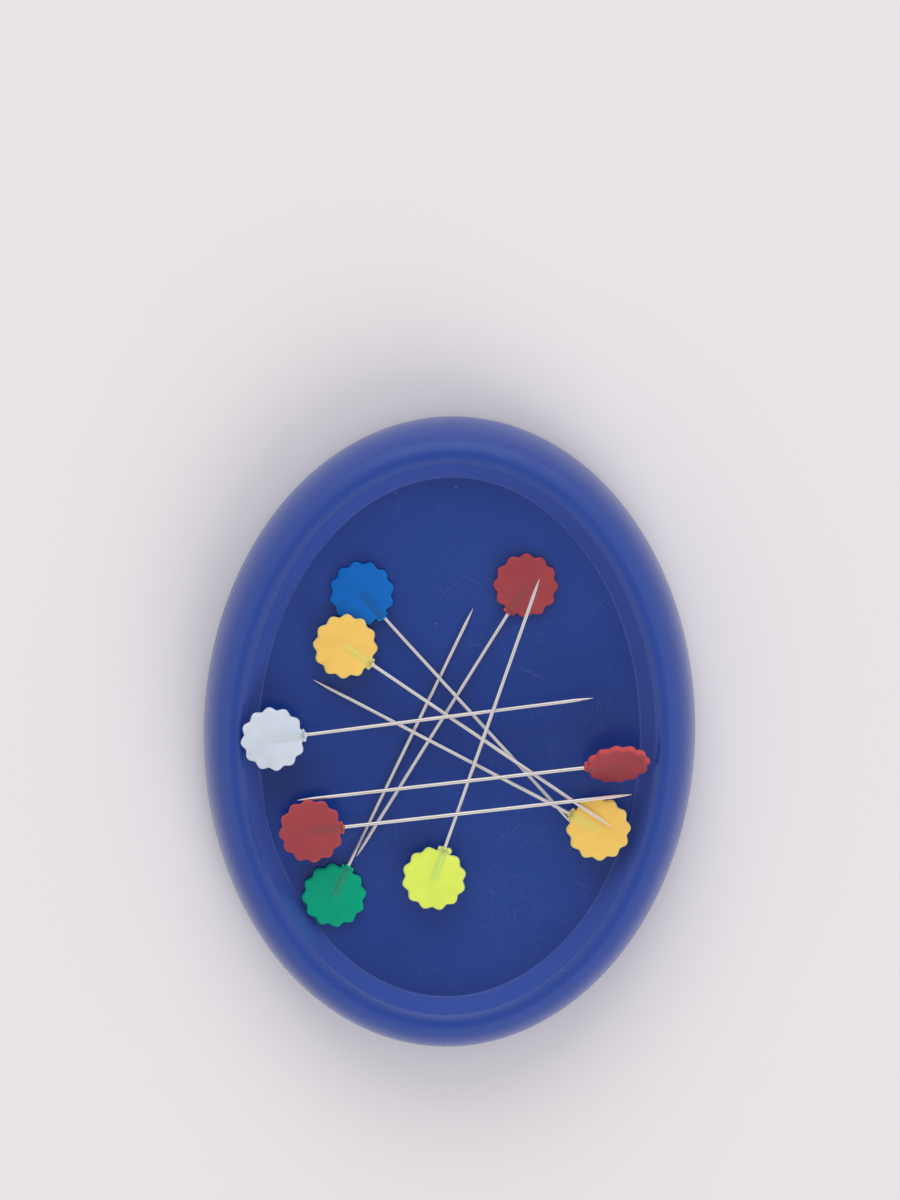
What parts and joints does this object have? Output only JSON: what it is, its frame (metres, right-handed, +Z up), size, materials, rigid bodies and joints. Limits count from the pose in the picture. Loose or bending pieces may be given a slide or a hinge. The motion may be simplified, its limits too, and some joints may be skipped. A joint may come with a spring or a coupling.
{
  "type": "magnetic pin bowl",
  "caption": "Oval magnetic pin bowl with a rounded rim, holding loose flower-head pins that can be lifted out.",
  "frame": {"origin": "under the middle of the bowl, on the surface that its feet stand on", "axes": "+Z up out of the bowl, +Y along the bowl's long axis, +X across it"},
  "size_m": [0.0775, 0.1, 0.0192],
  "materials": {
    "blue_tray": "glossy injection-moulded plastic, deep blue",
    "cover": "fine-grained moulded plastic, dark blue",
    "ferrite": "sintered ferrite, dull charcoal",
    "foam": "closed-cell foam, pale grey",
    "foot_rubber": "matt black rubber",
    "pin_steel": "nickel-plated steel wire",
    "green_head": "green translucent moulded plastic, satin",
    "red_head": "red translucent moulded plastic, satin",
    "blue_head": "blue translucent moulded plastic, satin",
    "yellow_head": "yellow translucent moulded plastic, satin",
    "white_head": "pale bluish white translucent moulded plastic, satin",
    "lime_head": "lime translucent moulded plastic, satin"
  },
  "bodies": {
    "bowl": {"bowl_shell": "blue_tray", "base_cover": "cover", "magnet": "ferrite", "magnet_pad": "foam", "foot_front_left": "foot_rubber", "foot_front_right": "foot_rubber", "foot_rear_left": "foot_rubber", "foot_rear_right": "foot_rubber"},
    "pin_green": {"pin_green_head": "green_head", "pin_green_wire": "pin_steel"},
    "pin_red_upper": {"pin_red_upper_head": "red_head", "pin_red_upper_wire": "pin_steel"},
    "pin_blue": {"pin_blue_head": "blue_head", "pin_blue_wire": "pin_steel"},
    "pin_yellow_right": {"pin_yellow_right_head": "yellow_head", "pin_yellow_right_wire": "pin_steel"},
    "pin_yellow_left": {"pin_yellow_left_head": "yellow_head", "pin_yellow_left_wire": "pin_steel"},
    "pin_white": {"pin_white_head": "white_head", "pin_white_wire": "pin_steel"},
    "pin_lime": {"pin_lime_head": "lime_head", "pin_lime_wire": "pin_steel"},
    "pin_red_right": {"pin_red_right_head": "red_head", "pin_red_right_wire": "pin_steel"},
    "pin_red_left": {"pin_red_left_head": "red_head", "pin_red_left_wire": "pin_steel"}
  },
  "joints": [
    {"name": "lift_green", "type": "slide", "parent": "bowl", "child": "pin_green", "axis": [0, 0, 1], "range_m": [0, 0.02]},
    {"name": "lift_red_upper", "type": "slide", "parent": "pin_green", "child": "pin_red_upper", "axis": [0, 0, 1], "range_m": [0, 0.02]},
    {"name": "lift_blue", "type": "slide", "parent": "pin_red_upper", "child": "pin_blue", "axis": [0, 0, 1], "range_m": [0, 0.02]},
    {"name": "lift_yellow_right", "type": "slide", "parent": "pin_blue", "child": "pin_yellow_right", "axis": [0, 0, 1], "range_m": [0, 0.02]},
    {"name": "lift_yellow_left", "type": "slide", "parent": "pin_yellow_right", "child": "pin_yellow_left", "axis": [0, 0, 1], "range_m": [0, 0.02]},
    {"name": "lift_white", "type": "slide", "parent": "pin_yellow_left", "child": "pin_white", "axis": [0, 0, 1], "range_m": [0, 0.02]},
    {"name": "lift_lime", "type": "slide", "parent": "pin_white", "child": "pin_lime", "axis": [0, 0, 1], "range_m": [0, 0.02]},
    {"name": "lift_red_right", "type": "slide", "parent": "pin_lime", "child": "pin_red_right", "axis": [0, 0, 1], "range_m": [0, 0.02]},
    {"name": "lift_red_left", "type": "slide", "parent": "pin_red_right", "child": "pin_red_left", "axis": [0, 0, 1], "range_m": [0, 0.02]}
  ]
}
